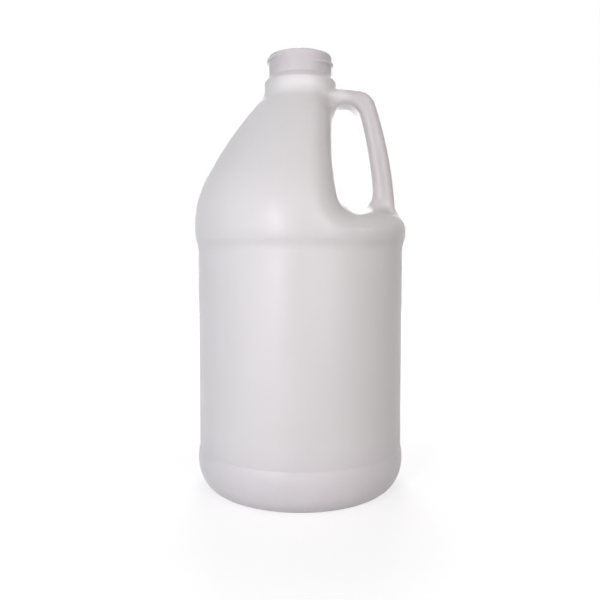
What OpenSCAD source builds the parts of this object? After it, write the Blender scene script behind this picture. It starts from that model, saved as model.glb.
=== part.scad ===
// Round handled bottle, blown in one piece.
// A hollow shell: ring foot, rounded heel, recessed label panel, sloping shoulder with a hollow
// side handle blended into it, and a plain neck finish. Origin at the middle of the foot, +Z up,
// the handle lies along +X and the parting plane is XZ.

/* [Body] */
// Overall height, foot to lip
height = 244.5; // [215:0.5:300]
// Diameter of the recessed label panel
panel_d = 116.2; // [108:0.2:126]
// How far the bead above the panel stands out
shoulder_bead_out = 1.7; // [1.2:0.1:2.4]
// How far the bead below the panel stands out
heel_bead_out = 0.9; // [0.6:0.1:1.6]
// Height of the crease below the panel
panel_bottom = 24.3; // [22:0.1:30]
// Height of shoulder and handle, from the crease above the panel to the neck finish
shoulder_h = 95.3; // [93:0.1:103]
// Wall thickness of the blown shell
wall = 0.9; // [0.7:0.05:1.2]

/* [Foot] */
// How far the ring foot lies inside the heel
foot_in = 11.4; // [9:0.1:14]
// Width of the flat ring the bottle stands on
foot_w = 7; // [4:0.5:10]
// Height of the rounded heel
heel_h = 17.3; // [14:0.1:19]
// Rise of the pushed-up middle of the base
push_up = 6; // [3:0.5:9]

/* [Shoulder] */
// Radius of the short lower shoulder curve
shoulder_r = 53; // [46:0.5:58]
// Radius of the long upper shoulder curve
upper_r = 221.5; // [190:0.5:260]
// Straight wall between the shoulder bead and the roll into the finger gap
roll_land = 1.2; // [0.8:0.1:2.4]
// Rounding where the shoulder rolls over into the ledge of the finger gap
roll_r = 10; // [8:0.1:12]
// How far the column wall lies inside the collar
column_in = 2.35; // [1.6:0.05:3]
// Radius of the corner between column and ledge
gap_corner_r = 8.5; // [7:0.5:11]

/* [Handle] */
// Width of the finger gap at its top
finger_gap = 13.5; // [12:0.1:15]
// How far the foot of the grip lies inside the shoulder bead
grip_foot_in = 6.4; // [5.6:0.1:8]
// Thickness of the grip at its top
grip_top_w = 10.1; // [9.8:0.1:12]
// Thickness of the grip at its foot
grip_foot_w = 12; // [11.4:0.1:13.4]
// Outward bow of the grip
grip_bow = 2.1; // [1.2:0.1:3]
// Depth of the handle across the parting plane
handle_depth = 21; // [18:0.5:24]
// Thickness of the arm that joins the neck
arm_t = 8.4; // [7.6:0.1:11]
// Fall of the arm over its length, in degrees
arm_fall = 6.3; // [4:0.1:8]
// Rounding of the handle edges
handle_edge_r = 4.5; // [3.5:0.1:5]
// Fillet under the arm, at the neck
arm_root_r = 12; // [6:0.1:13]
// Fillet at the foot of the grip, on the finger side
foot_root_r = 12.5; // [9:0.1:13]

/* [Neck] */
// Outside diameter of the neck finish, without its thread
neck_d = 35.1; // [30:0.05:40]
// Height of the neck finish
neck_h = 11.8; // [10:0.1:14]
// Wall thickness of the neck finish
neck_wall = 2.15; // [1.4:0.05:2.6]
// How far the collar stands out from the finish
collar_out = 2.5; // [1.8:0.1:3.2]
// Rounding of the lip
lip_r = 1; // [0.4:0.1:1.3]

/* [Hidden] */
$fn = 160;
// Rise of the shoulder bead above the panel crease, and of the straight land above the bead
bead_rise = 8.2;
land_h = 4.4;
// Height of the sloping collar under the finish, and the drop from its edge to the arm
collar_h = 3.1;
arm_drop = 3.9;
// Level under the collar where the shoulder runs out into it, and the blend there
cone_drop = 8;
collar_blend = 2.5;
// Softened edges of the collar and the mouth
collar_edge = 0.3;
mouth_edge = 0.3;
// Crown of the column and the ledge, falling away from the parting plane
crown_r = 280;
// Radius of the flaring column wall, and the height over which it flares
flare_r = 132;
flare_h = 43;
// Corner roundings of the handle, and the tight fillets above the arm and outside the foot
inner_corner_r = 5;
outer_corner_r = 6;
top_root_r = 1;
outside_root = 0.3;
// How gradually those fillets grow to their full size, and where that starts
fade = 10;
fade_start = 1.8;
// Where the grip's edges are measured, below the collar and above the ledge
grip_hi_drop = 11.6;
grip_lo_rise = 1;
// How far arm and grip reach into the body, from the axis and above the bead
arm_start_x = 6;
grip_start_rise = 5;
// Clear run of the mesh rows round the handle's roots, and where the grip's own rings end
row_clear = 6.5;
grip_end_rise = 8;
// Straight ends of the turned walls, how deep the blended skin is buried in them, and how far
// it stays inside their two faces there
seam_h = 0.5;
bury = 0.3;
bury_out = 0.03;
bury_in = 0.25;
skin_ease = 0.05;

// Body radii
panel_r = panel_d / 2;
bead_r = panel_r + shoulder_bead_out;
heel_r = panel_r + heel_bead_out;
foot_r = heel_r - foot_in;
neck_r = neck_d / 2;
mouth_r = neck_r - neck_wall;
collar_r = neck_r + collar_out;
column_x = collar_r - column_in;
half_depth = handle_depth / 2;
// Levels
finish_z = height - neck_h;
panel_top = finish_z - shoulder_h;
bead_z = panel_top + bead_rise;
low_seam_z = bead_z + seam_h;
curve_z = bead_z + land_h;
ledge_z = bead_z + roll_land + roll_r;
flare_z = ledge_z + flare_h;
collar_z = finish_z - collar_h;
high_seam_z = collar_z - collar_edge - seam_h;
cone_top_z = collar_z - cone_drop;
arm_top_z = collar_z - arm_drop;

// Shoulder outline: a short curve from the bead, then a long one up to the collar, tangent to it
curve_1 = [bead_r - shoulder_r, curve_z];
cone_end = [collar_r, cone_top_z];
span = norm(cone_end - curve_1);
along = (cone_end - curve_1) / span;
back = (pow(upper_r - shoulder_r, 2) - pow(upper_r, 2) + span * span) / (2 * span);
aside = sqrt(pow(upper_r - shoulder_r, 2) - back * back);
curve_2 = curve_1 + back * along + aside * [-along[1], along[0]];
hand_over = atan2(curve_1[1] - curve_2[1], curve_1[0] - curve_2[0]);

// Grip edges: bowed arcs through the top and the foot points
grip_hi_z = collar_z - grip_hi_drop;
grip_lo_z = ledge_z + grip_lo_rise;
inner_a = [column_x + finger_gap, grip_hi_z];
outer_a = inner_a + [grip_top_w, 0];
outer_b = [bead_r - grip_foot_in, grip_lo_z];
inner_b = outer_b - [grip_foot_w, 0];
function bow_r(a, b) = (pow(norm(b - a), 2) / 4 + grip_bow * grip_bow) / (2 * grip_bow);
function bow_c(a, b) =
    let (d = (b - a) / norm(b - a), out = [-d[1], d[0]])
    (a + b) / 2 + (grip_bow - bow_r(a, b)) * out;
outer_r = bow_r(outer_a, outer_b);
outer_c = bow_c(outer_a, outer_b);
inner_r = bow_r(inner_a, inner_b);
inner_c = bow_c(inner_a, inner_b);
function bow_x(c, r, z) = c[0] + sqrt(r * r - pow(z - c[1], 2));
// Arm edges: parallel lines falling away from the neck
arm_up = [sin(arm_fall), cos(arm_fall)];
arm_pt = [collar_r, arm_top_z];

// Rounded joining and rounded cutting of distance fields
function round_or(a, b, r) = max(r, min(a, b)) - norm([max(r - a, 0), max(r - b, 0)]);
function round_and(a, b, r) = min(-r, max(a, b)) + norm([max(r + a, 0), max(r + b, 0)]);
function clamp01(t) = max(0, min(1, t));

// Distance to the turned shoulder outline
function turned(r, z) =
    let (v = [r, z] - curve_1)
    v[1] <= 0 ? r - bead_r :
    atan2(v[1], v[0]) < hand_over ? norm(v) - shoulder_r :
    norm([r, z] - curve_2) - upper_r;

// Distance to the finger gap: column wall and ledge with a round corner between them
function gap(p) =
    let (sag = p[1] * p[1] / (2 * crown_r), x = p[0] + sag, z = p[2] + sag,
         column = z > flare_z ? x - column_x :
             flare_r - norm([x - column_x - flare_r, z - flare_z]))
    round_or(column, z - ledge_z, gap_corner_r);

// Shoulder with the gap cut out and the collar added
function shoulder_field(p) =
    let (r = norm([p[0], p[1]]),
         body = round_and(turned(r, p[2]), gap(p), roll_r),
         collar = max(r - collar_r, (r - collar_r + cone_top_z - p[2]) / sqrt(2)))
    round_or(body, collar, collar_blend);

// Handle: arm and grip with rounded edges, ending inside the body
function handle_field(p) =
    let (q = [p[0], p[2]],
         over = (q - arm_pt) * arm_up,
         outside = round_and(norm(q - outer_c) - outer_r, over, outer_corner_r),
         hole = round_and(norm(q - inner_c) - inner_r, over + arm_t, inner_corner_r),
         flat = round_and(outside, -hole, handle_edge_r),
         tube = round_and(flat, abs(p[1]) - half_depth, handle_edge_r))
    max(tube, arm_start_x - p[0], bead_z + grip_start_rise - p[2]);

// Fillet radius at the roots: tight above the arm, small outside the foot of the grip
function root_fillet(p) =
    let (low = clamp01((ledge_z + 3 * fade - p[2]) / (1.5 * fade)),
         full = arm_root_r + (foot_root_r - arm_root_r) * low,
         under = clamp01((arm_top_z - fade_start - p[2]) / fade),
         inward = max(outside_root, clamp01((outer_b[0] - fade_start - p[0]) / fade)))
    top_root_r + (full - top_root_r) * under * inward;
function skin(p) = round_or(shoulder_field(p), handle_field(p), root_fillet(p));

// Slope of the skin, and points settled onto it
tiny = 0.01;
function slope(p) =
    [skin(p + [tiny, 0, 0]) - skin(p - [tiny, 0, 0]),
     skin(p + [0, tiny, 0]) - skin(p - [0, tiny, 0]),
     skin(p + [0, 0, tiny]) - skin(p - [0, 0, tiny])] / (2 * tiny);
function settle(p, n) =
    n == 0 ? p :
    let (g = slope(p))
    settle(p - g * (skin(p) / max(0.25, g * g)), n - 1);
function unit(v) = v / max(1e-9, norm(v));

// Walk outward from the axis until the shoulder is met
function reach(apex, dir, t, n) =
    n == 0 ? apex + t * dir : reach(apex, dir, t - shoulder_field(apex + t * dir), n - 1);

// Rows of the shoulder, each given by a point on its handle side and a tilt: up the roll, over
// the ledge, round the corner, up the column and the collar
roll_c = [bead_r - roll_r, ledge_z - roll_r];
function flare_x(z) = column_x + flare_r - sqrt(pow(flare_r, 2) - pow(max(0, flare_z - z), 2));
corner_x = flare_x(ledge_z + gap_corner_r);
ledge_in_x = corner_x + gap_corner_r + 0.4 * (inner_b[0] - corner_x - gap_corner_r);
column_lo_z = ledge_z + gap_corner_r + row_clear;
column_hi_z = arm_top_z - arm_t - 1.3 * row_clear;
rows = concat(
    [[bead_r, low_seam_z - bury, 0]],
    [for (b = [0 : 22.5 : 90]) [roll_c[0] + roll_r * cos(b), roll_c[1] + roll_r * sin(b), b / 2]],
    [for (k = [1 : 3]) [roll_c[0] + (ledge_in_x - roll_c[0]) * k / 3, ledge_z, 45]],
    [for (b = [80 : -20 : 20]) let (in_x = 0.24 * (1 - b / 80))
        [corner_x + gap_corner_r * (1 - cos(b) - in_x), ledge_z + gap_corner_r * (1 - sin(b)), 45]],
    [for (k = [0 : 6]) let (z = column_lo_z + (column_hi_z - column_lo_z) * k / 6)
        [flare_x(z), z, 42 - 4.5 * k]],
    [for (k = [1 : 5]) let (z = column_hi_z + (high_seam_z - seam_h - column_hi_z) * k / 5)
        [column_x + column_in * (k + 1.5) / 7, z, 15 - 3 * k]],
    [[collar_r, high_seam_z + bury, 0]]);
last_row = len(rows) - 1;
// Rows that each window of the handle takes, and the rows below the windows of foot and arm
deep_n = 5;
foot_row_n = 3;
arm_row_n = last_row - deep_n - 1;

// Columns: evenly across the handle, then evenly round the rest
across_n = 10;
side_n = 32;
cols_n = across_n + 2 * side_n;
window_half = half_depth + row_clear;
function column_angle(i, x) =
    let (edge = atan2(window_half, x))
    i <= across_n ? atan2(window_half * (2 * i / across_n - 1), x) :
    let (s = (i - across_n) / side_n)
    s <= 1 ? edge + (180 - edge) * pow(s, 1.2) : 360 - edge - (180 - edge) * pow(2 - s, 1.2);

// Points of the shoulder grid, settled onto the blended skin between its two buried ends
function seam_point(r, a, z) = [(r - bury_out) * cos(a), (r - bury_out) * sin(a), z];
function shell_point(j, i) =
    let (w = rows[j], a = column_angle(i, w[0]), tilt = tan(w[2]),
         apex = [0, 0, w[1] - w[0] * tilt], dir = unit([cos(a), sin(a), tilt]))
    j == 0 || j == last_row ? seam_point(w[0], a, w[1]) : settle(reach(apex, dir, w[0], 40), 5);
grid = [for (j = [0 : last_row]) for (i = [0 : cols_n - 1]) shell_point(j, i)];
function at(j, i) = j * cols_n + (i + cols_n) % cols_n;

// The loop round a window, as grid places; v = 0 is the finger side, v = deep_n the outside
loop_n = 2 * (across_n + deep_n);
function loop_uv(k) =
    k < across_n ? [k, 0] :
    k < across_n + deep_n ? [across_n, k - across_n] :
    k < 2 * across_n + deep_n ? [2 * across_n + deep_n - k, deep_n] :
    [0, loop_n - k];
function foot_at(k) = let (s = loop_uv(k)) at(foot_row_n + deep_n - s[1], s[0]);
function arm_at(k) = let (s = loop_uv(k)) at(arm_row_n + s[1], s[0]);

// Stations along the handle, round its top corner and down the grip: middle, outward direction
// and half thickness
fan_z = arm_top_z - arm_t - 1.1 * inner_corner_r;
fan_x = bow_x(inner_c, inner_r, fan_z) - inner_corner_r;
fan_n = 9;
grip_n = 9;
fan = [for (k = [0 : fan_n - 1])
    let (b = 87 - 72 * k / (fan_n - 1), out = [cos(b), sin(b)])
    [[fan_x, fan_z] + (inner_corner_r + arm_t / 2) * out, out, arm_t / 2]];
grip = [for (k = [0 : grip_n])
    let (z = fan_z + (ledge_z + grip_end_rise - fan_z) * k / grip_n,
         xo = bow_x(outer_c, outer_r, z),
         xi = bow_x(inner_c, inner_r, z))
    [[(xo + xi) / 2, z], unit([xo, z] - outer_c), (xo - xi) / 2]];
stations = concat(fan, grip);
function ring_point(s, k) =
    let (m = loop_uv(k), u = 2 * m[0] / across_n - 1, v = 2 * m[1] / deep_n - 1,
         q = s[0] + s[1] * (s[2] * v * (1 - 0.1 * u * u)))
    settle([q[0], half_depth * u * (1 - 0.1 * v * v), q[1]], 8);
tube = [for (s = stations) [for (k = [0 : loop_n - 1]) ring_point(s, k)]];

// Fillet rings between the windows and the tube, the middle one along the crease of the root
function slide(p, dir, n) = n == 0 ? p : slide(p + dir * shoulder_field(p), dir, n - 1);
function between(a, b, c, t) = t < 1 ? a + (b - a) * t : b + (c - b) * (t - 1);
function bridge(loop, end, dir) =
    let (crease = [for (p = end) slide(p, dir, 24)])
    [for (m = [1 : 5]) [for (k = [0 : loop_n - 1])
        settle(between(loop[k], crease[k], end[k], m / 3), 8)]];
function reversed(list) = [for (k = [len(list) - 1 : -1 : 0]) list[k]];
arm_loop = [for (k = [0 : loop_n - 1]) grid[arm_at(k)]];
foot_loop = [for (k = [0 : loop_n - 1]) grid[foot_at(k)]];
rings = concat(bridge(arm_loop, tube[0], [-1, 0, 0]), tube,
    reversed(bridge(foot_loop, tube[len(tube) - 1], unit([0.1, 0, -1]))));
ring_n = len(rings);

// All outside points, and the inside points one wall further in
outside_pts = concat(grid, [for (r = rings) each r]);
skin_n = len(outside_pts);
function inner_point(n) =
    let (p = outside_pts[n], j = floor(n / cols_n))
    j == 0 || j == last_row ? p - unit([p[0], p[1], 0]) * (wall - bury_out - bury_in) :
    p - unit(slope(p)) * (wall - skin_ease);
inside_pts = [for (n = [0 : skin_n - 1]) inner_point(n)];

// Faces of one skin: the grid less its two windows, then the handle
function row_in(j, first) = j >= first && j < first + deep_n;
function in_window(j, i) =
    i < across_n && (row_in(j, foot_row_n) || row_in(j, arm_row_n));
function ring_at(r, k) =
    r == 0 ? arm_at(k % loop_n) :
    r == ring_n + 1 ? foot_at(k % loop_n) :
    len(grid) + (r - 1) * loop_n + k % loop_n;
// Each patch is split along the diagonal that lies closer to the skin
function off_skin(a, b) = abs(skin((outside_pts[a] + outside_pts[b]) / 2));
function patch(a, b, c, d) =
    off_skin(a, c) <= off_skin(b, d) ? [[a, b, c], [a, c, d]] : [[a, b, d], [b, c, d]];
grid_faces = [for (j = [0 : last_row - 1]) for (i = [0 : cols_n - 1]) if (!in_window(j, i))
    each patch(at(j, i), at(j + 1, i), at(j + 1, i + 1), at(j, i + 1))];
handle_faces = [for (r = [0 : ring_n]) for (k = [0 : loop_n - 1])
    each patch(ring_at(r, k), ring_at(r + 1, k), ring_at(r + 1, k + 1), ring_at(r, k + 1))];
outer_faces = concat(grid_faces, handle_faces);
inner_faces = [for (f = outer_faces) [f[0] + skin_n, f[2] + skin_n, f[1] + skin_n]];
// Flat rims that close the skin at its two ends
function rim(a, b) = [[a, b, b + skin_n], [a, b + skin_n, a + skin_n]];
low_rim = [for (i = [0 : cols_n - 1]) each rim(at(0, i), at(0, i + 1))];
high_rim = [for (i = [0 : cols_n - 1]) each rim(at(last_row, i + 1), at(last_row, i))];

// Points along an arc in the outline plane
function arc(c, r, from, to, n) =
    [for (k = [0 : n]) let (a = from + (to - from) * k / n) c + r * [cos(a), sin(a)]];

// Outline of the lower body: base, heel, heel bead, panel, shoulder bead; inset gives the inside
base_r = foot_r - foot_w;
dome_r = (base_r * base_r + push_up * push_up) / (2 * push_up);
function crest_r(rise, out) = (rise * rise + out * out) / (2 * out);
heel_crest_r = crest_r(panel_bottom - heel_h, heel_bead_out);
bead_crest_r = crest_r(bead_rise, shoulder_bead_out);
heel_crest = arc([heel_r - heel_crest_r, heel_h], heel_crest_r,
    4, asin((panel_bottom - heel_h) / heel_crest_r), 6);
bead_crest = arc([bead_r - bead_crest_r, bead_z], bead_crest_r, -asin(bead_rise / bead_crest_r), 0, 8);
function lower_outline(inset) = concat(
    [for (p = arc([0, push_up - dome_r], dome_r, 90, acos(base_r / dome_r), 10)) p + [0, inset]],
    [for (k = [0 : 14]) let (a = -90 + 90 * k / 14)
        [foot_r + (foot_in - inset) * cos(a), heel_h + (heel_h - inset) * sin(a)]],
    [for (p = concat(heel_crest, bead_crest, [[bead_r, low_seam_z]])) p - [inset, 0]]);

// Lower body: one turned wall from the middle of the base to the shoulder bead
module lower_body() {
    rotate_extrude()
        polygon(concat(lower_outline(0), reversed(lower_outline(wall))));
}

// Shoulder and handle: one blended hollow skin
module shoulder_and_handle() {
    polyhedron(points = concat(outside_pts, inside_pts),
        faces = concat(outer_faces, inner_faces, low_rim, high_rim));
}

// Neck: collar, slope, plain finish with a rounded lip, round mouth
module neck() {
    outside = concat(
        [[collar_r, high_seam_z], [collar_r, collar_z - collar_edge], [collar_r - collar_edge, collar_z],
         [neck_r, finish_z]],
        arc([neck_r - lip_r, height - lip_r], lip_r, 0, 90, 8));
    inside = [[mouth_r + mouth_edge, height], [mouth_r, height - mouth_edge], [mouth_r, finish_z - wall],
        [collar_r - wall, collar_z - collar_edge], [collar_r - wall, high_seam_z]];
    rotate_extrude()
        polygon(concat(outside, inside));
}

module bottle() {
    color([0.93, 0.93, 0.94]) union() {
        lower_body();
        shoulder_and_handle();
        neck();
    }
}

bottle();
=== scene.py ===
import math

import bmesh
import bpy
import numpy as np
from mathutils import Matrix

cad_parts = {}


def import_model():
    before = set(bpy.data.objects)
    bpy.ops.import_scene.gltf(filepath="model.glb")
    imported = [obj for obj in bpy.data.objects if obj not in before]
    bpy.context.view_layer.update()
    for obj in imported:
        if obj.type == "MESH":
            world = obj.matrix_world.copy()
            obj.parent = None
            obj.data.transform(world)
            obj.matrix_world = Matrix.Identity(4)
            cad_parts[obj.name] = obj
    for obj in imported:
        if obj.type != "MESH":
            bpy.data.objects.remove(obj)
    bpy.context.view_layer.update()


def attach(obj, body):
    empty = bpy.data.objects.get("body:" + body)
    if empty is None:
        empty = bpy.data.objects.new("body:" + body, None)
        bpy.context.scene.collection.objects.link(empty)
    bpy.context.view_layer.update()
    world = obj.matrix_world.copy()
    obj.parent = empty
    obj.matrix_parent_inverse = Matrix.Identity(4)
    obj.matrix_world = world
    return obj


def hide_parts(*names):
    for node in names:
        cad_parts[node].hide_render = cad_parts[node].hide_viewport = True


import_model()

# Sizes of the bottle, in millimetres: the same values as the part's source

# Body, heel and foot
HEIGHT, WALL, SHOULDER_H, PANEL_BOTTOM = 244.5, 0.9, 95.3, 24.3
PANEL_R, BEAD_R, HEEL_R, FOOT_R = 58.1, 59.8, 59.0, 47.6
FOOT_W, HEEL_H, PUSH_UP = 7.0, 17.3, 6.0
# Neck and collar
NECK_R, NECK_H, MOUTH_R, LIP_R = 17.55, 11.8, 15.4, 1.0
COLLAR_R, COLLAR_H, COLLAR_EDGE, COLLAR_BLEND, CONE_DROP = 20.05, 3.1, 0.3, 2.5, 8.0
# Shoulder: its bead, the land above it, the two curves and the roll into the finger gap
BEAD_RISE, LAND_H, SHOULDER_R, UPPER_R, ROLL_R, ROLL_LAND = 8.2, 4.4, 53.0, 221.5, 10.0, 1.2
# Finger gap: the flaring column wall, and its corner with the ledge
COLUMN_X, COLUMN_IN, FLARE_R, FLARE_H, GAP_CORNER_R, CROWN_R = 17.7, 2.35, 132.0, 43.0, 8.5, 280.0
# Handle: grip, arm and their roundings
FINGER_GAP, GRIP_TOP_W, GRIP_FOOT_W, GRIP_FOOT_IN, GRIP_BOW = 13.5, 10.1, 12.0, 6.4, 2.1
GRIP_HI_DROP, GRIP_LO_RISE, GRIP_START_RISE, GRIP_END_RISE = 11.6, 1.0, 5.0, 8.0
ARM_T, ARM_DROP, ARM_START_X, ARM_FALL = 8.4, 3.9, 6.0, math.radians(6.3)
HALF_DEPTH, HANDLE_EDGE_R, INNER_CORNER_R, OUTER_CORNER_R = 10.5, 4.5, 5.0, 6.0
# Fillets at the roots of the handle, and how gradually they grow to their full size
ARM_ROOT_R, FOOT_ROOT_R, TOP_ROOT_R, OUTSIDE_ROOT = 12.0, 12.5, 1.0, 0.3
FADE, FADE_START = 10.0, 1.8

# Levels
FINISH_Z = HEIGHT - NECK_H
PANEL_TOP = FINISH_Z - SHOULDER_H
BEAD_Z = PANEL_TOP + BEAD_RISE
CURVE_Z = BEAD_Z + LAND_H
LEDGE_Z = BEAD_Z + ROLL_LAND + ROLL_R
FLARE_Z = LEDGE_Z + FLARE_H
COLLAR_Z = FINISH_Z - COLLAR_H
CONE_TOP_Z = COLLAR_Z - CONE_DROP
ARM_TOP_Z = COLLAR_Z - ARM_DROP


# The outside of shoulder and handle, as one blended distance field

def tangent_curve(start, start_r, end, r):
    """Middle of the arc of radius r that leaves the first arc smoothly and ends at end."""
    span = np.linalg.norm(end - start)
    along = (end - start) / span
    back = ((r - start_r) ** 2 - r * r + span * span) / (2 * span)
    aside = math.sqrt((r - start_r) ** 2 - back * back)
    return start + back * along + aside * np.array([-along[1], along[0]])


def bowed(a, b):
    """Radius and middle of the bowed arc from a to b."""
    a, b = np.array(a), np.array(b)
    length = np.linalg.norm(b - a)
    r = (length * length / 4 + GRIP_BOW ** 2) / (2 * GRIP_BOW)
    d = (b - a) / length
    return r, (a + b) / 2 + (GRIP_BOW - r) * np.array([-d[1], d[0]])


CURVE_1 = np.array([BEAD_R - SHOULDER_R, CURVE_Z])
CURVE_2 = tangent_curve(CURVE_1, SHOULDER_R, np.array([COLLAR_R, CONE_TOP_Z]), UPPER_R)
HAND_OVER = math.atan2(CURVE_1[1] - CURVE_2[1], CURVE_1[0] - CURVE_2[0])
GRIP_HI_Z, GRIP_LO_Z = COLLAR_Z - GRIP_HI_DROP, LEDGE_Z + GRIP_LO_RISE
INNER_TOP_X, OUTER_FOOT_X = COLUMN_X + FINGER_GAP, BEAD_R - GRIP_FOOT_IN
INNER_FOOT_X = OUTER_FOOT_X - GRIP_FOOT_W
OUT_R, OUT_C = bowed((INNER_TOP_X + GRIP_TOP_W, GRIP_HI_Z), (OUTER_FOOT_X, GRIP_LO_Z))
IN_R, IN_C = bowed((INNER_TOP_X, GRIP_HI_Z), (INNER_FOOT_X, GRIP_LO_Z))


def round_or(a, b, r):
    """Two distance fields joined, with a fillet of radius r."""
    return np.maximum(r, np.minimum(a, b)) - np.hypot(np.maximum(r - a, 0), np.maximum(r - b, 0))


def round_and(a, b, r):
    """What two distance fields share, with an edge of radius r."""
    return np.minimum(-r, np.maximum(a, b)) + np.hypot(np.maximum(r + a, 0), np.maximum(r + b, 0))


def turned(r, z):
    """Distance to the turned shoulder."""
    low = np.hypot(r - CURVE_1[0], z - CURVE_1[1]) - SHOULDER_R
    high = np.hypot(r - CURVE_2[0], z - CURVE_2[1]) - UPPER_R
    angle = np.arctan2(z - CURVE_1[1], r - CURVE_1[0])
    return np.where(z <= CURVE_Z, r - BEAD_R, np.where(angle < HAND_OVER, low, high))


def finger_gap(x, y, z):
    """Distance to the column wall and the ledge, with their round corner."""
    sag = y * y / (2 * CROWN_R)
    x, z = x + sag, z + sag
    flare = FLARE_R - np.hypot(x - COLUMN_X - FLARE_R, z - FLARE_Z)
    column = np.where(z > FLARE_Z, x - COLUMN_X, flare)
    return round_or(column, z - LEDGE_Z, GAP_CORNER_R)


def shoulder_field(p):
    """Distance to the shoulder with the finger gap cut out and the collar added."""
    x, y, z = p[..., 0], p[..., 1], p[..., 2]
    r = np.hypot(x, y)
    body = round_and(turned(r, z), finger_gap(x, y, z), ROLL_R)
    collar = np.maximum(r - COLLAR_R, (r - COLLAR_R + CONE_TOP_Z - z) / math.sqrt(2))
    return round_or(body, collar, COLLAR_BLEND)


def handle_field(p):
    """Distance to arm and grip, which end inside the body."""
    x, y, z = p[..., 0], p[..., 1], p[..., 2]
    over = (x - COLLAR_R) * math.sin(ARM_FALL) + (z - ARM_TOP_Z) * math.cos(ARM_FALL)
    outside = round_and(np.hypot(x - OUT_C[0], z - OUT_C[1]) - OUT_R, over, OUTER_CORNER_R)
    hole = round_and(np.hypot(x - IN_C[0], z - IN_C[1]) - IN_R, over + ARM_T, INNER_CORNER_R)
    flat = round_and(outside, -hole, HANDLE_EDGE_R)
    tube = round_and(flat, np.abs(y) - HALF_DEPTH, HANDLE_EDGE_R)
    return np.maximum(tube, np.maximum(ARM_START_X - x, BEAD_Z + GRIP_START_RISE - z))


def root_fillet(p):
    """Fillet radius at the roots: tight above the arm, small outside the foot of the grip."""
    x, z = p[..., 0], p[..., 2]
    low = np.clip((LEDGE_Z + 3 * FADE - z) / (1.5 * FADE), 0, 1)
    full = ARM_ROOT_R + (FOOT_ROOT_R - ARM_ROOT_R) * low
    under = np.clip((ARM_TOP_Z - FADE_START - z) / FADE, 0, 1)
    inward = np.maximum(OUTSIDE_ROOT, np.clip((OUTER_FOOT_X - FADE_START - x) / FADE, 0, 1))
    return TOP_ROOT_R + (full - TOP_ROOT_R) * under * inward


def skin(p):
    """Distance to the whole blended skin."""
    return round_or(shoulder_field(p), handle_field(p), root_fillet(p))


def slope(p, tiny=0.01):
    """Slope of the skin at points p."""
    steps = np.eye(3) * tiny
    return np.stack([skin(p + s) - skin(p - s) for s in steps], -1) / (2 * tiny)


def settle(p, n, least=0.25):
    """Points moved onto the skin along its slope; least keeps a step short where it is flat."""
    for _ in range(n):
        g = slope(p)
        p = p - g * (skin(p) / np.maximum(least, (g * g).sum(-1)))[..., None]
    return p


def unit(v):
    return v / np.maximum(1e-9, np.linalg.norm(v, axis=-1))[..., None]


# Columns round the bottle: across the handle, round the sides, and close together at the two
# places where the parting line runs

ACROSS, FLANK, WINDOW_HALF = 32, 70, 17.0
# How far the columns beside the parting line lie from it, and how the flank's columns spread
NEAR_1, NEAR_2, FLANK_SPREAD = 0.43, 1.0, 1.25
COLS = ACROSS + 2 * (FLANK + 3)
HALF_U = np.concatenate([np.array([0, NEAR_1, NEAR_2]) / WINDOW_HALF,
                         np.linspace(NEAR_2 / WINDOW_HALF, 1, ACROSS // 2 - 1)[1:]])
U = np.concatenate([-HALF_U[:0:-1], HALF_U])


def column_angles(x):
    """Angle of each column on a row whose handle side lies x from the axis."""
    front = np.arctan2(WINDOW_HALF * U, x)
    near = math.pi - np.arcsin(np.array([NEAR_2, NEAR_1, 0]) / x)
    s = np.arange(1, FLANK + 1) / (FLANK + 1)
    flank = front[-1] + (near[0] - front[-1]) * s ** FLANK_SPREAD
    side = np.concatenate([flank, near])
    return np.concatenate([front, side, 2 * math.pi - side[-2::-1]])


def ring(r, z, like):
    """A turned row, with the columns of a row whose handle side lies like from the axis."""
    a = column_angles(like)
    return np.stack([r * np.cos(a), r * np.sin(a), np.full(COLS, z)], -1)


# Rows of the shoulder, each given by a point on its handle side and a tilt in degrees: up the
# roll, over the ledge, round the corner, up the column and past the arm to the collar

# Clear run of the rows above the corner, under the arm and below the collar's edge
CORNER_CLEAR, ARM_CLEAR, COLLAR_CLEAR = 6.5, 8.45, 1.3
# Share of the ledge that has rows of its own, and how far the corner's rows lean in
LEDGE_SHARE, CORNER_LEAN = 0.4, 2.0
LEDGE_ROWS, COLUMN_ROWS, ARM_ROWS, ROW_SPLIT = 3, 6, 5, 3
ROLL_ANGLES, CORNER_ANGLES = (0, 22.5, 45, 67.5, 90), (80, 60, 40, 20)
LEDGE_TILT, COLUMN_TILT, COLUMN_TILT_STEP, ARM_TILT, ARM_TILT_STEP = 45, 42, 4.5, 15, 3


def flare_x(z):
    """Place of the column wall at height z, in the parting plane."""
    return COLUMN_X + FLARE_R - math.sqrt(FLARE_R ** 2 - max(0, FLARE_Z - z) ** 2)


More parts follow.
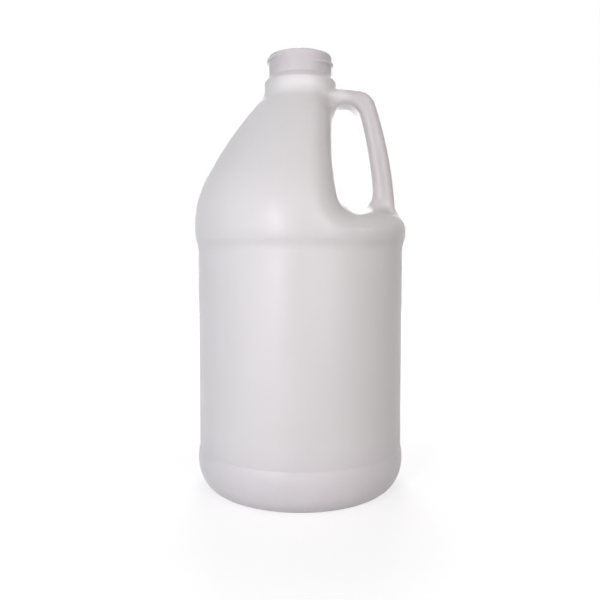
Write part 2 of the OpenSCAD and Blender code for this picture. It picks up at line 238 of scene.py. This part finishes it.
def shoulder_rows():
    corner_x = flare_x(LEDGE_Z + GAP_CORNER_R)
    ledge_in_x = corner_x + GAP_CORNER_R + LEDGE_SHARE * (INNER_FOOT_X - corner_x - GAP_CORNER_R)
    roll_x, roll_z = BEAD_R - ROLL_R, LEDGE_Z - ROLL_R
    lo, hi = LEDGE_Z + GAP_CORNER_R + CORNER_CLEAR, ARM_TOP_Z - ARM_T - ARM_CLEAR
    rows = []
    for b in ROLL_ANGLES:
        t = math.radians(b)
        rows.append((roll_x + ROLL_R * math.cos(t), roll_z + ROLL_R * math.sin(t), b / 2))
    for k in range(1, LEDGE_ROWS + 1):
        rows.append((roll_x + (ledge_in_x - roll_x) * k / LEDGE_ROWS, LEDGE_Z, LEDGE_TILT))
    for b in CORNER_ANGLES:
        t = math.radians(b)
        lean = CORNER_LEAN * (1 - b / CORNER_ANGLES[0])
        rows.append((corner_x + GAP_CORNER_R * (1 - math.cos(t)) - lean,
                     LEDGE_Z + GAP_CORNER_R * (1 - math.sin(t)), LEDGE_TILT))
    for k in range(COLUMN_ROWS + 1):
        z = lo + (hi - lo) * k / COLUMN_ROWS
        rows.append((flare_x(z), z, COLUMN_TILT - COLUMN_TILT_STEP * k))
    for k in range(1, ARM_ROWS + 1):
        z = hi + (COLLAR_Z - COLLAR_CLEAR - hi) * k / ARM_ROWS
        rows.append((COLUMN_X + COLUMN_IN * (k + 1.5) / 7, z, ARM_TILT - ARM_TILT_STEP * k))
    at = np.arange(0, len(rows) - 1 + 1e-9, 1 / ROW_SPLIT)
    return np.stack([np.interp(at, np.arange(len(rows)), values) for values in zip(*rows)], -1)


ROWS = shoulder_rows()


def shoulder_grid():
    """Points of the shoulder, found outward from the axis and settled onto the blended skin."""
    grid = []
    for x, z, tilt in ROWS:
        t = math.tan(math.radians(tilt))
        a = column_angles(x)
        apex = np.array([0, 0, z - x * t])
        ray = unit(np.stack([np.cos(a), np.sin(a), np.full(COLS, t)], -1))
        reach = np.full(COLS, x)
        for _ in range(40):
            reach = reach - shoulder_field(apex + reach[:, None] * ray)
        grid.append(apex + reach[:, None] * ray)
    return settle(np.array(grid), 5)


# The handle as rings between its two windows in the grid

# Rows that each window takes, and the first row of the windows of foot and arm
DEEP = 15
FOOT_FROM, ARM_FROM = 6, len(ROWS) - DEEP - 1
# The loop round a window, by column and depth: depth 0 is the finger side
LOOP = ([(i, 0) for i in range(ACROSS)] + [(ACROSS, j) for j in range(DEEP)]
        + [(i, DEEP) for i in range(ACROSS, 0, -1)] + [(0, j) for j in range(DEEP, 0, -1)])
LOOP_N = len(LOOP)
# The same loops as places in the grid, by row and column
ARM_LOOP = [(ARM_FROM + j, i) for i, j in LOOP]
FOOT_LOOP = [(FOOT_FROM + DEEP - j, i) for i, j in LOOP]
# Rings round the handle's top corner, with the angles they run through in degrees, and down
# the grip; fillet rings on each side of a root's crease; pillow of a ring's sides
FAN_N, FAN_START, FAN_TURN, GRIP_N, ROOT_N, PILLOW = 25, 87, 72, 28, 9, 0.1


def bow_x(c, r, z):
    """Place of a bowed edge of the grip at height z."""
    return c[0] + math.sqrt(r * r - (z - c[1]) ** 2)


def stations():
    """Middle, outward direction and half thickness of each ring along the handle."""
    fan_z = ARM_TOP_Z - ARM_T - 1.1 * INNER_CORNER_R
    fan_x = bow_x(IN_C, IN_R, fan_z) - INNER_CORNER_R
    for k in range(FAN_N):
        b = math.radians(FAN_START - FAN_TURN * k / (FAN_N - 1))
        out = np.array([math.cos(b), math.sin(b)])
        middle = np.array([fan_x, fan_z]) + (INNER_CORNER_R + ARM_T / 2) * out
        yield middle, out, ARM_T / 2
    for k in range(GRIP_N):
        z = fan_z + (LEDGE_Z + GRIP_END_RISE - fan_z) * k / (GRIP_N - 1)
        xo, xi = bow_x(OUT_C, OUT_R, z), bow_x(IN_C, IN_R, z)
        out = np.array([xo, z]) - OUT_C
        yield np.array([(xo + xi) / 2, z]), out / np.linalg.norm(out), (xo - xi) / 2


def root_rings(loop, end, way):
    """Rings from a window's loop to the end of the tube, the middle one along the crease."""
    crease = end
    for _ in range(24):
        crease = crease + way * shoulder_field(crease)[:, None]
    made = []
    for m in range(1, 2 * ROOT_N):
        t = m / ROOT_N
        made.append(loop + (crease - loop) * t if t < 1 else crease + (end - crease) * (t - 1))
    return list(settle(np.array(made), 8))


def handle_rings(grid):
    """Rings from the arm's window along the handle to the window of its foot."""
    u = np.array([U[i] for i, _ in LOOP])
    v = np.array([2 * j / DEEP - 1 for _, j in LOOP])
    tube = []
    for middle, out, half in stations():
        q = middle + out * (half * v * (1 - PILLOW * u * u))[:, None]
        tube.append(np.stack([q[:, 0], HALF_DEPTH * u * (1 - PILLOW * v * v), q[:, 1]], -1))
    tube = settle(np.array(tube), 8)
    arm_loop = np.array([grid[place] for place in ARM_LOOP])
    foot_loop = np.array([grid[place] for place in FOOT_LOOP])
    inward, down = np.array([-1.0, 0, 0]), unit(np.array([[0.1, 0, -1]]))[0]
    return np.array(root_rings(arm_loop, tube[0], inward) + list(tube)
                    + root_rings(foot_loop, tube[-1], down)[::-1])


def grid_edges(at, chain):
    """Pairs of neighbouring points: over the grid, without its windows, and along the handle."""
    hidden = np.zeros(at.shape, bool)
    for start in (FOOT_FROM, ARM_FROM):
        hidden[start + 1:start + DEEP, 1:ACROSS] = True
    along = np.stack([at, np.roll(at, -1, 1)], -1)[~(hidden | np.roll(hidden, -1, 1))]
    up = np.stack([at[:-1], at[1:]], -1)[~(hidden[:-1] | hidden[1:])]
    round_loop = np.stack([chain, np.roll(chain, -1, 1)], -1).reshape(-1, 2)
    down_handle = np.stack([chain[:-1], chain[1:]], -1).reshape(-1, 2)
    return np.concatenate([along, up, round_loop, down_handle])


def relaxed(grid, rings, rounds=30):
    """The same points spread evenly over the skin; the parting columns and both ends stay."""
    n_grid = grid.shape[0] * COLS
    p = np.concatenate([grid.reshape(-1, 3), rings.reshape(-1, 3)])
    at = np.arange(n_grid).reshape(-1, COLS)
    arm = np.array([at[place] for place in ARM_LOOP])
    foot = np.array([at[place] for place in FOOT_LOOP])
    tube = n_grid + np.arange(rings.shape[0] * LOOP_N).reshape(-1, LOOP_N)
    edges = grid_edges(at, np.concatenate([arm[None], tube, foot[None]]))
    a, b = edges[:, 0], edges[:, 1]
    degree = np.bincount(edges.ravel(), minlength=len(p)).astype(float)
    free = degree > 0
    free[at[0]] = free[at[-1]] = False
    on_line = np.abs(p[:, 1]) < NEAR_2 + 0.05
    for _ in range(rounds):
        total = np.stack([np.bincount(a, p[b, k], len(p)) + np.bincount(b, p[a, k], len(p))
                          for k in range(3)], -1)
        middle = total / np.maximum(degree, 1)[:, None]
        q = np.where(free[:, None], p + 0.5 * (middle - p), p)
        q[on_line, 1] = p[on_line, 1]
        q[free] = settle(q[free], 1)
        p = q
    p[free] = settle(p[free], 3)
    return p[:n_grid].reshape(grid.shape), p[n_grid:].reshape(rings.shape)


# Turned outlines, from the middle of the base up to the shoulder and from the collar to the lip

# Fillets at the foot ring and at the creases below and above the panel; the height of the upper
# one, and where the crest of the heel's bead starts, in degrees
FOOT_EDGE_R, HEEL_CREASE_R, BEAD_CREASE_R, BEAD_CREASE_H, HEEL_CREST_START = 2.5, 3.0, 15.0, 3.4, 3
# Roundings of the collar's edge and foot, and of the mouth, outside and inside
COLLAR_EDGE_R, FINISH_FOOT_R, MOUTH_EDGE_R, MOUTH_FOOT_R = 0.9, 1.6, 0.5, 1.2
# Straight wall under the collar's edge, and flat top of the lip
COLLAR_LAND, LIP_FLAT = 1.2, 0.6
# Steps of the curves, and the longest step of a straight, outside and inside
BASE_STEPS, HEEL_STEPS, CREST_STEPS, LIP_STEPS, CORNER_STEPS = 12, 20, 8, 8, 6
BODY_STEP, BODY_STEP_IN, NECK_STEP, MOUTH_STEP = 6.0, 9.0, 0.2, 1.5


def arc(c, r, start, end, n):
    t = np.radians(np.linspace(start, end, n + 1))
    return np.stack([c[0] + r * np.cos(t), c[1] + r * np.sin(t)], -1)


def softened(points, corners, most=0.48):
    """An outline whose given corners are rounded by their radius, up to most of a straight."""
    out = []
    for k, p in enumerate(points):
        if k not in corners:
            out.append(p)
            continue
        p = np.array(p)
        a, b = np.array(points[k - 1]) - p, np.array(points[k + 1]) - p
        la, lb = np.linalg.norm(a), np.linalg.norm(b)
        half = 0.5 * math.acos(np.clip(a @ b / (la * lb), -1, 1))
        cut = min(corners[k] / math.tan(half), most * la, most * lb)
        start, end = p + a / la * cut, p + b / lb * cut
        for t in np.linspace(0, 1, CORNER_STEPS + 1):
            out.append((1 - t) ** 2 * start + 2 * t * (1 - t) * p + t * t * end)
    return np.array(out)


def spaced(points, longest):
    """An outline with its long straights cut into even steps."""
    out = [points[0]]
    for a, b in zip(points[:-1], points[1:]):
        n = max(1, math.ceil(np.linalg.norm(b - a) / longest))
        out += [a + (b - a) * k / n for k in range(1, n + 1)]
    return np.array(out)


def crest_r(rise, out):
    """Radius of a bead's crest that stands out over its rise."""
    return (rise * rise + out * out) / (2 * out)


def lower_outline(inset, longest):
    """Outline from the middle of the base to the upper bead, further in by inset."""
    base_r = FOOT_R - FOOT_W
    dome = (base_r ** 2 + PUSH_UP ** 2) / (2 * PUSH_UP)
    dome_end = math.degrees(math.acos(base_r / dome))
    base = arc((0, PUSH_UP - dome), dome, 90, dome_end, BASE_STEPS)[1:] + (0, inset)
    t = np.radians(np.linspace(-90, 0, HEEL_STEPS + 1))
    heel = np.stack([FOOT_R + (HEEL_R - FOOT_R - inset) * np.cos(t),
                     HEEL_H + (HEEL_H - inset) * np.sin(t)], -1)
    heel_rise = PANEL_BOTTOM - HEEL_H
    hr, br = crest_r(heel_rise, HEEL_R - PANEL_R), crest_r(BEAD_RISE, BEAD_R - PANEL_R)
    crest_end = math.degrees(math.asin(heel_rise / hr))
    heel_crest = arc((HEEL_R - hr, HEEL_H), hr, HEEL_CREST_START, crest_end, CREST_STEPS)
    crest_start = -math.degrees(math.asin((BEAD_RISE - BEAD_CREASE_H) / br))
    bead_crest = arc((BEAD_R - br, BEAD_Z), br, crest_start, 0, CREST_STEPS)
    upper = np.concatenate([heel_crest, [(PANEL_R, PANEL_TOP)], bead_crest]) - (inset, 0)
    crease = len(base) + len(heel) + len(heel_crest)
    corners = {len(base) - 1: FOOT_EDGE_R, crease - 1: HEEL_CREASE_R, crease: BEAD_CREASE_R}
    return spaced(softened(np.concatenate([base, heel, upper]), corners, 0.95), longest)


def neck_outline():
    """Outlines from the collar up to the lip, and from the lip down the inside of the mouth."""
    start_z, inside_r = COLLAR_Z - COLLAR_LAND, COLLAR_R - WALL
    outside = softened([(COLLAR_R, start_z), (COLLAR_R, COLLAR_Z),
                        (NECK_R, FINISH_Z), (NECK_R, HEIGHT - LIP_R)],
                       {1: COLLAR_EDGE_R, 2: FINISH_FOOT_R})
    lip = arc((NECK_R - LIP_R, HEIGHT - LIP_R), LIP_R, 0, 90, LIP_STEPS)[1:]
    inside = softened([(MOUTH_R + LIP_FLAT, HEIGHT), (MOUTH_R, HEIGHT), (MOUTH_R, FINISH_Z - WALL),
                       (inside_r, COLLAR_Z - COLLAR_EDGE), (inside_r, start_z)],
                      {1: MOUTH_EDGE_R, 2: MOUTH_FOOT_R, 3: COLLAR_EDGE_R})
    return spaced(outside, NECK_STEP), np.concatenate([lip, spaced(inside, MOUTH_STEP)])


# Fine forms that the blown shell carries: the screw thread, the parting line and the pinched seam

THREAD_PITCH, THREAD_OUT, THREAD_FLANK, THREAD_TOP = 4.23, 1.2, 0.75, 0.35
# Height of the thread opposite the handle, its two ends and their run-out, in degrees
THREAD_MID_Z, THREAD_START, THREAD_END, THREAD_FADE = 241.6, -80.0, 255.0, 62.0
# Height and half width of the parting line, and the height over which it grows above the floor
PARTING_H, PARTING_W, PARTING_RISE = 0.07, 0.3, 1.5
# Height, half length and run-out of the pinched seam, and the level that it stays below
PINCH_H, PINCH_HALF, PINCH_FADE, PINCH_BELOW = 0.35, 34.0, 4.0, 10.0


def thread(p):
    """Outward step of the one-turn right-handed thread at points on the neck."""
    a = np.degrees(np.arctan2(p[:, 1], p[:, 0]))
    total = np.zeros(len(p))
    for turn in (0, 360):
        t = a + turn
        mid = THREAD_MID_Z + (t - 180) / 360 * THREAD_PITCH
        ends = np.clip(np.minimum(t - THREAD_START, THREAD_END - t) / THREAD_FADE, 0, 1)
        ends = ends * ends * (3 - 2 * ends)
        off = np.clip((np.abs(p[:, 2] - mid) - THREAD_TOP) / THREAD_FLANK, 0, 1)
        total = np.maximum(total, THREAD_OUT * ends * 0.5 * (1 + np.cos(math.pi * off)))
    return total


def parting(p):
    """Height of the faint line where the mould halves met, and of the pinched seam in the base."""
    x, y, z = p[..., 0], p[..., 1], p[..., 2]
    pinch = np.clip((PINCH_HALF - np.abs(x)) / PINCH_FADE, 0, 1) * (z < PINCH_BELOW)
    off_floor = np.clip(z / PARTING_RISE, 0, 1)
    return (PARTING_H + PINCH_H * pinch) * off_floor * np.exp(-(y / PARTING_W) ** 2)


# One closed surface, outside and inside

class Surface:
    def __init__(self):
        self.points, self.faces, self.count = [], [], 0

    def add(self, points):
        """Adds points, and returns the number of the first."""
        first = self.count
        self.points.append(np.asarray(points))
        self.count += len(points)
        return first

    def tip(self, point, row, outward):
        """Triangles between one point and a ring of columns."""
        for i in range(COLS):
            n = (i + 1) % COLS
            self.faces.append((point, row + n, row + i) if outward else (point, row + i, row + n))

    def band(self, low, high, skip=()):
        """Quads between two rings of columns."""
        for i in range(COLS):
            if i not in skip:
                n = (i + 1) % COLS
                self.faces.append((low + i, low + n, high + n, high + i))

    def bands(self, rows):
        for low, high in zip(rows[:-1], rows[1:]):
            self.band(low, high)

    def loops(self, rings):
        """Quads along the handle, ring by ring; each ring is a list of point numbers."""
        for a, b in zip(rings[:-1], rings[1:]):
            for k in range(LOOP_N):
                n = (k + 1) % LOOP_N
                self.faces.append((a[k], b[k], b[n], a[n]))

    def turned_rows(self, outline, with_parting):
        """Rings of a turned outline, with the parting line standing out from them or without."""
        d = np.gradient(outline, axis=0)
        normals = unit(np.stack([d[:, 1], -d[:, 0]], -1))
        first = []
        for (r, z), (nr, nz) in zip(outline, normals):
            p = ring(r, z, BEAD_R)
            if with_parting:
                a = np.arctan2(p[:, 1], p[:, 0])
                n = np.stack([nr * np.cos(a), nr * np.sin(a), np.full(COLS, nz)], -1)
                p = p + n * parting(p)[:, None]
            first.append(self.add(p))
        return first

    def shell(self, grid, rings):
        """Rows of the shoulder, and the handle's rings with the window loops at both ends."""
        rows = [self.add(row) for row in grid]
        tube = [self.add(loop) for loop in rings]
        arm = [rows[j] + i for j, i in ARM_LOOP]
        foot = [rows[j] + i for j, i in FOOT_LOOP]
        return rows, [arm] + [[first + k for k in range(LOOP_N)] for first in tube] + [foot]


def window(j):
    """Columns that row j leaves open for the handle."""
    inside = FOOT_FROM <= j < FOOT_FROM + DEEP or ARM_FROM <= j < ARM_FROM + DEEP
    return range(ACROSS) if inside else ()


def build_surface():
    grid = shoulder_grid()
    grid, rings = relaxed(grid, handle_rings(grid))
    grid_n, rings_n = unit(slope(grid)), unit(slope(rings))
    neck_out, neck_in = neck_outline()
    s = Surface()

    # points of the outside, from the middle of the base to the lip
    base_out = s.add([[0, 0, PUSH_UP]])
    low = s.turned_rows(lower_outline(0, BODY_STEP), True)
    rows, chain = s.shell(grid + grid_n * parting(grid)[..., None],
                          rings + rings_n * parting(rings)[..., None])
    high = []
    for r, z in neck_out:
        p = ring(r, z, COLLAR_R)
        p[:, :2] *= ((r + (thread(p) + parting(p))) / r)[:, None]
        high.append(s.add(p))
    mouth = [s.add(ring(r, z, COLLAR_R)) for r, z in neck_in]
    # points of the inside, one wall further in
    rows_in, chain_in = s.shell(grid - grid_n * WALL, rings - rings_n * WALL)
    low_in = s.turned_rows(lower_outline(WALL, BODY_STEP_IN), False)
    base_in = s.add([[0, 0, PUSH_UP + WALL]])

    # faces, up the outside, over the lip and down the inside
    s.tip(base_out, low[0], True)
    s.bands(low + rows[:1])
    for j in range(len(rows) - 1):
        s.band(rows[j], rows[j + 1], window(j))
    s.loops([loop[::-1] for loop in chain[::-1]])
    s.bands([rows[-1]] + high + mouth + [rows_in[-1]])
    for j in range(len(rows_in) - 1):
        s.band(rows_in[j + 1], rows_in[j], window(j))
    s.loops(chain_in[::-1])
    s.bands([rows_in[0]] + low_in[::-1])
    s.tip(base_in, low_in[0], False)
    return s


def bottle_mesh():
    s = build_surface()
    mesh = bpy.data.meshes.new("bottle_shell")
    mesh.from_pydata((np.concatenate(s.points) / 1000).tolist(), [], s.faces)
    bm = bmesh.new()
    bm.from_mesh(mesh)
    # the grid's points inside the two windows carry no face
    bmesh.ops.delete(bm, geom=[v for v in bm.verts if not v.link_faces], context="VERTS")
    bmesh.ops.recalc_face_normals(bm, faces=bm.faces)
    bm.to_mesh(mesh)
    bm.free()
    mesh.shade_smooth()
    return mesh


# Material: frosted natural polyethylene

MILK_LOW, MILK_HIGH = (0.963, 0.949, 0.970, 1), (0.983, 0.971, 0.985, 1)
# the heel factor on the next line is painted shade, darkening the heel towards the bottom; the
# streak factor is the plastic's own tone
STREAK_TINT, HEEL_PAINTED_SHADE = (0.965, 0.958, 0.962, 1), (0.84, 0.833, 0.860, 1)
# the handle and finish factors on the next line are painted shade, darkening handle and neck finish
# where less light glows through
HANDLE_PAINTED_SHADE, FINISH_PAINTED_SHADE = (0.70, 0.69, 0.69, 1), (0.60, 0.596, 0.607, 1)
SATIN_LOW, SATIN_HIGH = (0.30, 0.30, 0.30, 1), (0.39, 0.39, 0.39, 1)
# Part of a noise's range that a ramp spreads over
NOISE_LOW, NOISE_HIGH = 0.3, 0.7
# Where the painted shade sets in, from and to, in metres: the handle beyond a line that leans with
# the grip and above the ledge, the finish upwards, the heel downwards
GRIP_LEAN, HANDLE_X, HANDLE_Z = 0.169, (0.056, 0.067), (0.152, 0.168)
FINISH_RISE, HEEL_FALL = (0.2180, 0.2370), (0.0420, 0.0180)


def eased(nodes, links, value, start, end, low=0.0, high=1.0):
    """Smooth change from low to high between two values."""
    n = nodes.new("ShaderNodeMapRange")
    n.interpolation_type = "SMOOTHSTEP"
    for name, number in (("From Min", start), ("From Max", end), ("To Min", low), ("To Max", high)):
        n.inputs[name].default_value = number
    links.new(value, n.inputs["Value"])
    return n.outputs["Result"]


def polyethylene():
    m = bpy.data.materials.new("frosted_polyethylene")
    m.use_nodes = True
    nodes, links = m.node_tree.nodes, m.node_tree.links
    bsdf = nodes["Principled BSDF"]
    bsdf.inputs["IOR"].default_value = 1.5
    bsdf.inputs["Subsurface Weight"].default_value = 1.0
    bsdf.inputs["Subsurface Radius"].default_value = (1.0, 0.98, 0.96)
    bsdf.inputs["Subsurface Scale"].default_value = 0.004
    bsdf.inputs["Specular IOR Level"].default_value = 0.25
    coords = nodes.new("ShaderNodeTexCoord")
    place = nodes.new("ShaderNodeSeparateXYZ")
    links.new(coords.outputs["Object"], place.inputs["Vector"])
    height = place.outputs["Z"]

    def noise(scale, detail, stretch=(1, 1, 1)):
        mapping = nodes.new("ShaderNodeMapping")
        mapping.inputs["Scale"].default_value = stretch
        n = nodes.new("ShaderNodeTexNoise")
        n.inputs["Scale"].default_value = scale
        n.inputs["Detail"].default_value = detail
        links.new(coords.outputs["Object"], mapping.inputs["Vector"])
        links.new(mapping.outputs["Vector"], n.inputs["Vector"])
        return n.outputs["Fac"]

    def ramp(fac, low, high):
        r = nodes.new("ShaderNodeValToRGB")
        first, last = r.color_ramp.elements
        first.position, first.color = NOISE_LOW, low
        last.position, last.color = NOISE_HIGH, high
        links.new(fac, r.inputs["Fac"])
        return r.outputs["Color"]

    def math_node(operation, *values):
        n = nodes.new("ShaderNodeMath")
        n.operation = operation
        for socket, value in zip(n.inputs, values):
            if hasattr(value, "is_linked"):
                links.new(value, socket)
            else:
                socket.default_value = value
        return n.outputs[0]

    # multiplies a factor into the colour: the plastic's own streaks, and the painted shade on
    # handle, finish and heel
    def multiply_tint_or_painted_shade(colour, mask, tint_or_shade):
        n = nodes.new("ShaderNodeMixRGB")
        n.blend_type = "MULTIPLY"
        n.inputs["Color2"].default_value = tint_or_shade
        links.new(mask, n.inputs["Fac"])
        links.new(colour, n.inputs["Color1"])
        return n.outputs["Color"]

    def bump(relief, strength, distance):
        n = nodes.new("ShaderNodeBump")
        n.inputs["Strength"].default_value = strength
        n.inputs["Distance"].default_value = distance
        links.new(relief, n.inputs["Height"])
        return n

    # wall thickness drifts along the drawn parison: faint vertical clouds and long streaks
    colour = ramp(noise(22, 3, (1, 1, 0.35)), MILK_LOW, MILK_HIGH)
    colour = multiply_tint_or_painted_shade(colour, noise(110, 2, (1, 1, 0.025)), STREAK_TINT)
    # painted shade: handle and finish are darkened in their colour, standing in for the narrow
    # hollows glowing less than the wide body
    leaning = math_node("MULTIPLY_ADD", height, GRIP_LEAN, place.outputs["X"])
    handle_shade_mask = math_node("MULTIPLY", eased(nodes, links, leaning, *HANDLE_X),
                       eased(nodes, links, height, *HANDLE_Z))
    colour = multiply_tint_or_painted_shade(colour, handle_shade_mask, HANDLE_PAINTED_SHADE)
    colour = multiply_tint_or_painted_shade(colour, eased(nodes, links, height, *FINISH_RISE), FINISH_PAINTED_SHADE)
    # painted shade: the heel is darkened in its colour, darker towards the bottom
    colour = multiply_tint_or_painted_shade(colour, eased(nodes, links, height, *HEEL_FALL), HEEL_PAINTED_SHADE)
    links.new(colour, bsdf.inputs["Base Color"])
    links.new(ramp(noise(60, 4), SATIN_LOW, SATIN_HIGH), bsdf.inputs["Roughness"])
    # blasted mould grain, and a slow orange peel over it
    grain = bump(noise(2600, 2), 0.05, 0.0002)
    peel = bump(noise(140, 2, (1, 1, 0.6)), 0.06, 0.001)
    links.new(grain.outputs["Normal"], peel.inputs["Normal"])
    links.new(peel.outputs["Normal"], bsdf.inputs["Normal"])
    return m


def placed(name, data):
    """A new object in the scene."""
    obj = bpy.data.objects.new(name, data)
    bpy.context.scene.collection.objects.link(obj)
    return obj


bottle = placed("bottle_shell", bottle_mesh())
bottle.data.materials.append(polyethylene())
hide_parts("bottle")
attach(bottle, "root")


# Stage: pale floor, white surroundings, soft lamps; in metres

FLOOR_HALF, PAPER = 6.0, (0.40, 0.40, 0.40, 1)
# The floor whitens with the distance from the bottle, so that no horizon shows
GLOW_FROM, GLOW_TO, GLOW_NEAR, GLOW_FAR = 0.08, 0.28, 0.70, 0.92
SKY, SKY_STRENGTH, WHITE = (0.96, 0.965, 1.0, 1), 0.22, (1, 1, 1, 1)
CAMERA_PLACE, CAMERA_DIP, LENS, SENSOR = (-0.00017, -0.3743, 0.1320), 0.0673, 38.79, 36.0


def seen_rays(nodes, links):
    """1 for what the camera sees, straight, in gloss or through clear things, else 0."""
    path = nodes.new("ShaderNodeLightPath")
    seen = path.outputs["Is Camera Ray"]
    for name in ("Is Glossy Ray", "Is Transmission Ray"):
        either = nodes.new("ShaderNodeMath")
        either.operation = "MAXIMUM"
        links.new(seen, either.inputs[0])
        links.new(path.outputs[name], either.inputs[1])
        seen = either.outputs[0]
    return seen


def mixed(nodes, links, unseen, seen, output):
    """One shader for the rays that are seen, and another for those that only light."""
    mix = nodes.new("ShaderNodeMixShader")
    links.new(seen_rays(nodes, links), mix.inputs["Fac"])
    links.new(unseen.outputs[0], mix.inputs[1])
    links.new(seen.outputs[0], mix.inputs[2])
    links.new(mix.outputs[0], nodes[output].inputs["Surface"])


def floor():
    mesh = bpy.data.meshes.new("floor")
    corners = [(-1, -1), (1, -1), (1, 1), (-1, 1)]
    mesh.from_pydata([(x * FLOOR_HALF, y * FLOOR_HALF, 0) for x, y in corners], [], [(0, 1, 2, 3)])
    m = bpy.data.materials.new("floor")
    m.use_nodes = True
    nodes, links = m.node_tree.nodes, m.node_tree.links
    nodes.remove(nodes["Principled BSDF"])
    paper = nodes.new("ShaderNodeBsdfDiffuse")
    paper.inputs["Color"].default_value = PAPER
    coords = nodes.new("ShaderNodeTexCoord")
    far = nodes.new("ShaderNodeVectorMath")
    far.operation = "LENGTH"
    links.new(coords.outputs["Object"], far.inputs[0])
    rise = eased(nodes, links, far.outputs["Value"], GLOW_FROM, GLOW_TO, GLOW_NEAR, GLOW_FAR)
    glow = nodes.new("ShaderNodeEmission")
    links.new(rise, glow.inputs["Strength"])
    white = nodes.new("ShaderNodeAddShader")
    links.new(paper.outputs[0], white.inputs[0])
    links.new(glow.outputs[0], white.inputs[1])
    mixed(nodes, links, paper, white, "Material Output")
    mesh.materials.append(m)
    placed("floor", mesh)


def world():
    w = bpy.data.worlds.new("studio")
    bpy.context.scene.world = w
    w.use_nodes = True
    nodes, links = w.node_tree.nodes, w.node_tree.links
    sky = nodes["Background"]
    white = nodes.new("ShaderNodeBackground")
    for node, colour, strength in ((sky, SKY, SKY_STRENGTH), (white, WHITE, 1.0)):
        node.inputs["Color"].default_value = colour
        node.inputs["Strength"].default_value = strength
    mixed(nodes, links, sky, white, "World Output")


def lamp(name, place, aim, size, power, colour):
    """A rectangular soft lamp that faces its aim."""
    data = bpy.data.lights.new(name, "AREA")
    data.shape = "RECTANGLE"
    data.size, data.size_y = size
    data.energy = power
    data.color = colour
    obj = placed(name, data)
    d = np.array(aim) - np.array(place)
    tilt, turn = math.acos(-d[2] / np.linalg.norm(d)), math.atan2(d[1], d[0]) - math.pi / 2
    obj.location = place
    obj.rotation_euler = (tilt, 0, turn)


def camera():
    data = bpy.data.cameras.new("camera")
    data.lens, data.sensor_width = LENS, SENSOR
    obj = placed("camera", data)
    obj.location = CAMERA_PLACE
    obj.rotation_euler = (math.pi / 2 - CAMERA_DIP, 0, 0)
    bpy.context.scene.camera = obj


camera()
floor()
world()
lamp("key", (-0.31, -0.31, 0.12), (0, 0, 0.12), (0.24, 0.24), 0.42, (0.94, 0.90, 1.0))
lamp("strip", (-0.45, -1.0, 0.15), (0, 0, 0.13), (0.12, 0.7), 7.3, (1.0, 0.975, 0.985))
lamp("right", (0.55, -1.1, 0.30), (0, 0, 0.13), (0.5, 0.9), 7.7, (1.0, 0.89, 0.86))
lamp("back", (0.0, 0.95, 0.90), (0, 0, 0.12), (0.6, 0.6), 6.6, (1.0, 0.98, 0.98))
lamp("fill", (0.0, 1.1, 0.22), (0, 0, 0.12), (0.9, 0.5), 4.2, (1.0, 0.98, 0.98))
bpy.context.scene.view_settings.view_transform = "Standard"
